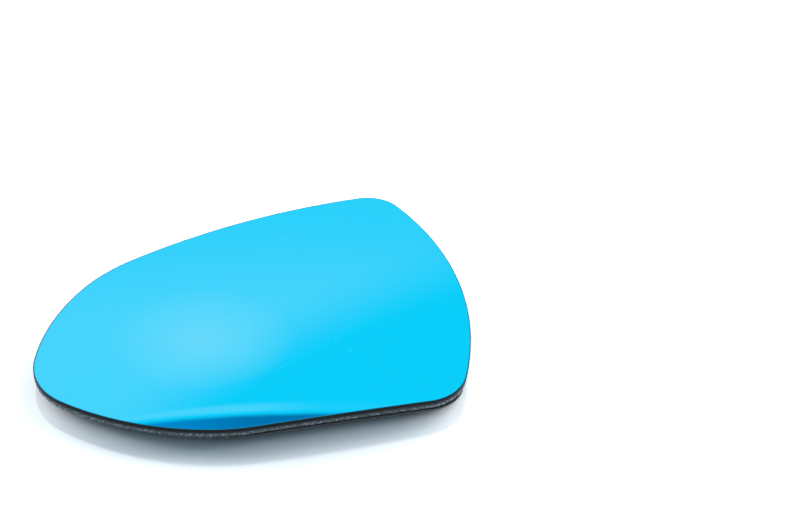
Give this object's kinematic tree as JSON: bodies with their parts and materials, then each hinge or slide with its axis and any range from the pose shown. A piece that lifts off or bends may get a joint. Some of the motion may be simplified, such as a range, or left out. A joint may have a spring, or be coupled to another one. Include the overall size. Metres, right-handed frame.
{
  "type": "car door mirror glass",
  "caption": "Blue-tinted convex door mirror glass bonded by its heating foil to a moulded carrier plate with a snap ring of spring fingers",
  "frame": {"origin": "on the axis of the snap ring, in the plane of its mouth", "axes": "+Z out of the mirror face along the ring's axis, +X along the glass towards its wide end"},
  "size_m": [0.1761, 0.1375, 0.0111],
  "materials": {
    "mirror_face": "polished, blue-tinted reflective glass with ground edges",
    "foil": "printed heating foil with adhesive on both sides",
    "black_plastic": "satin, finely grained moulded plastic",
    "tinned_brass": "tinned, satin"
  },
  "bodies": {
    "root": {"mirror_glass": "mirror_face", "heater_foil": "foil", "carrier_plate": "black_plastic", "terminal_front": "tinned_brass", "terminal_rear": "tinned_brass"}
  },
  "joints": []
}
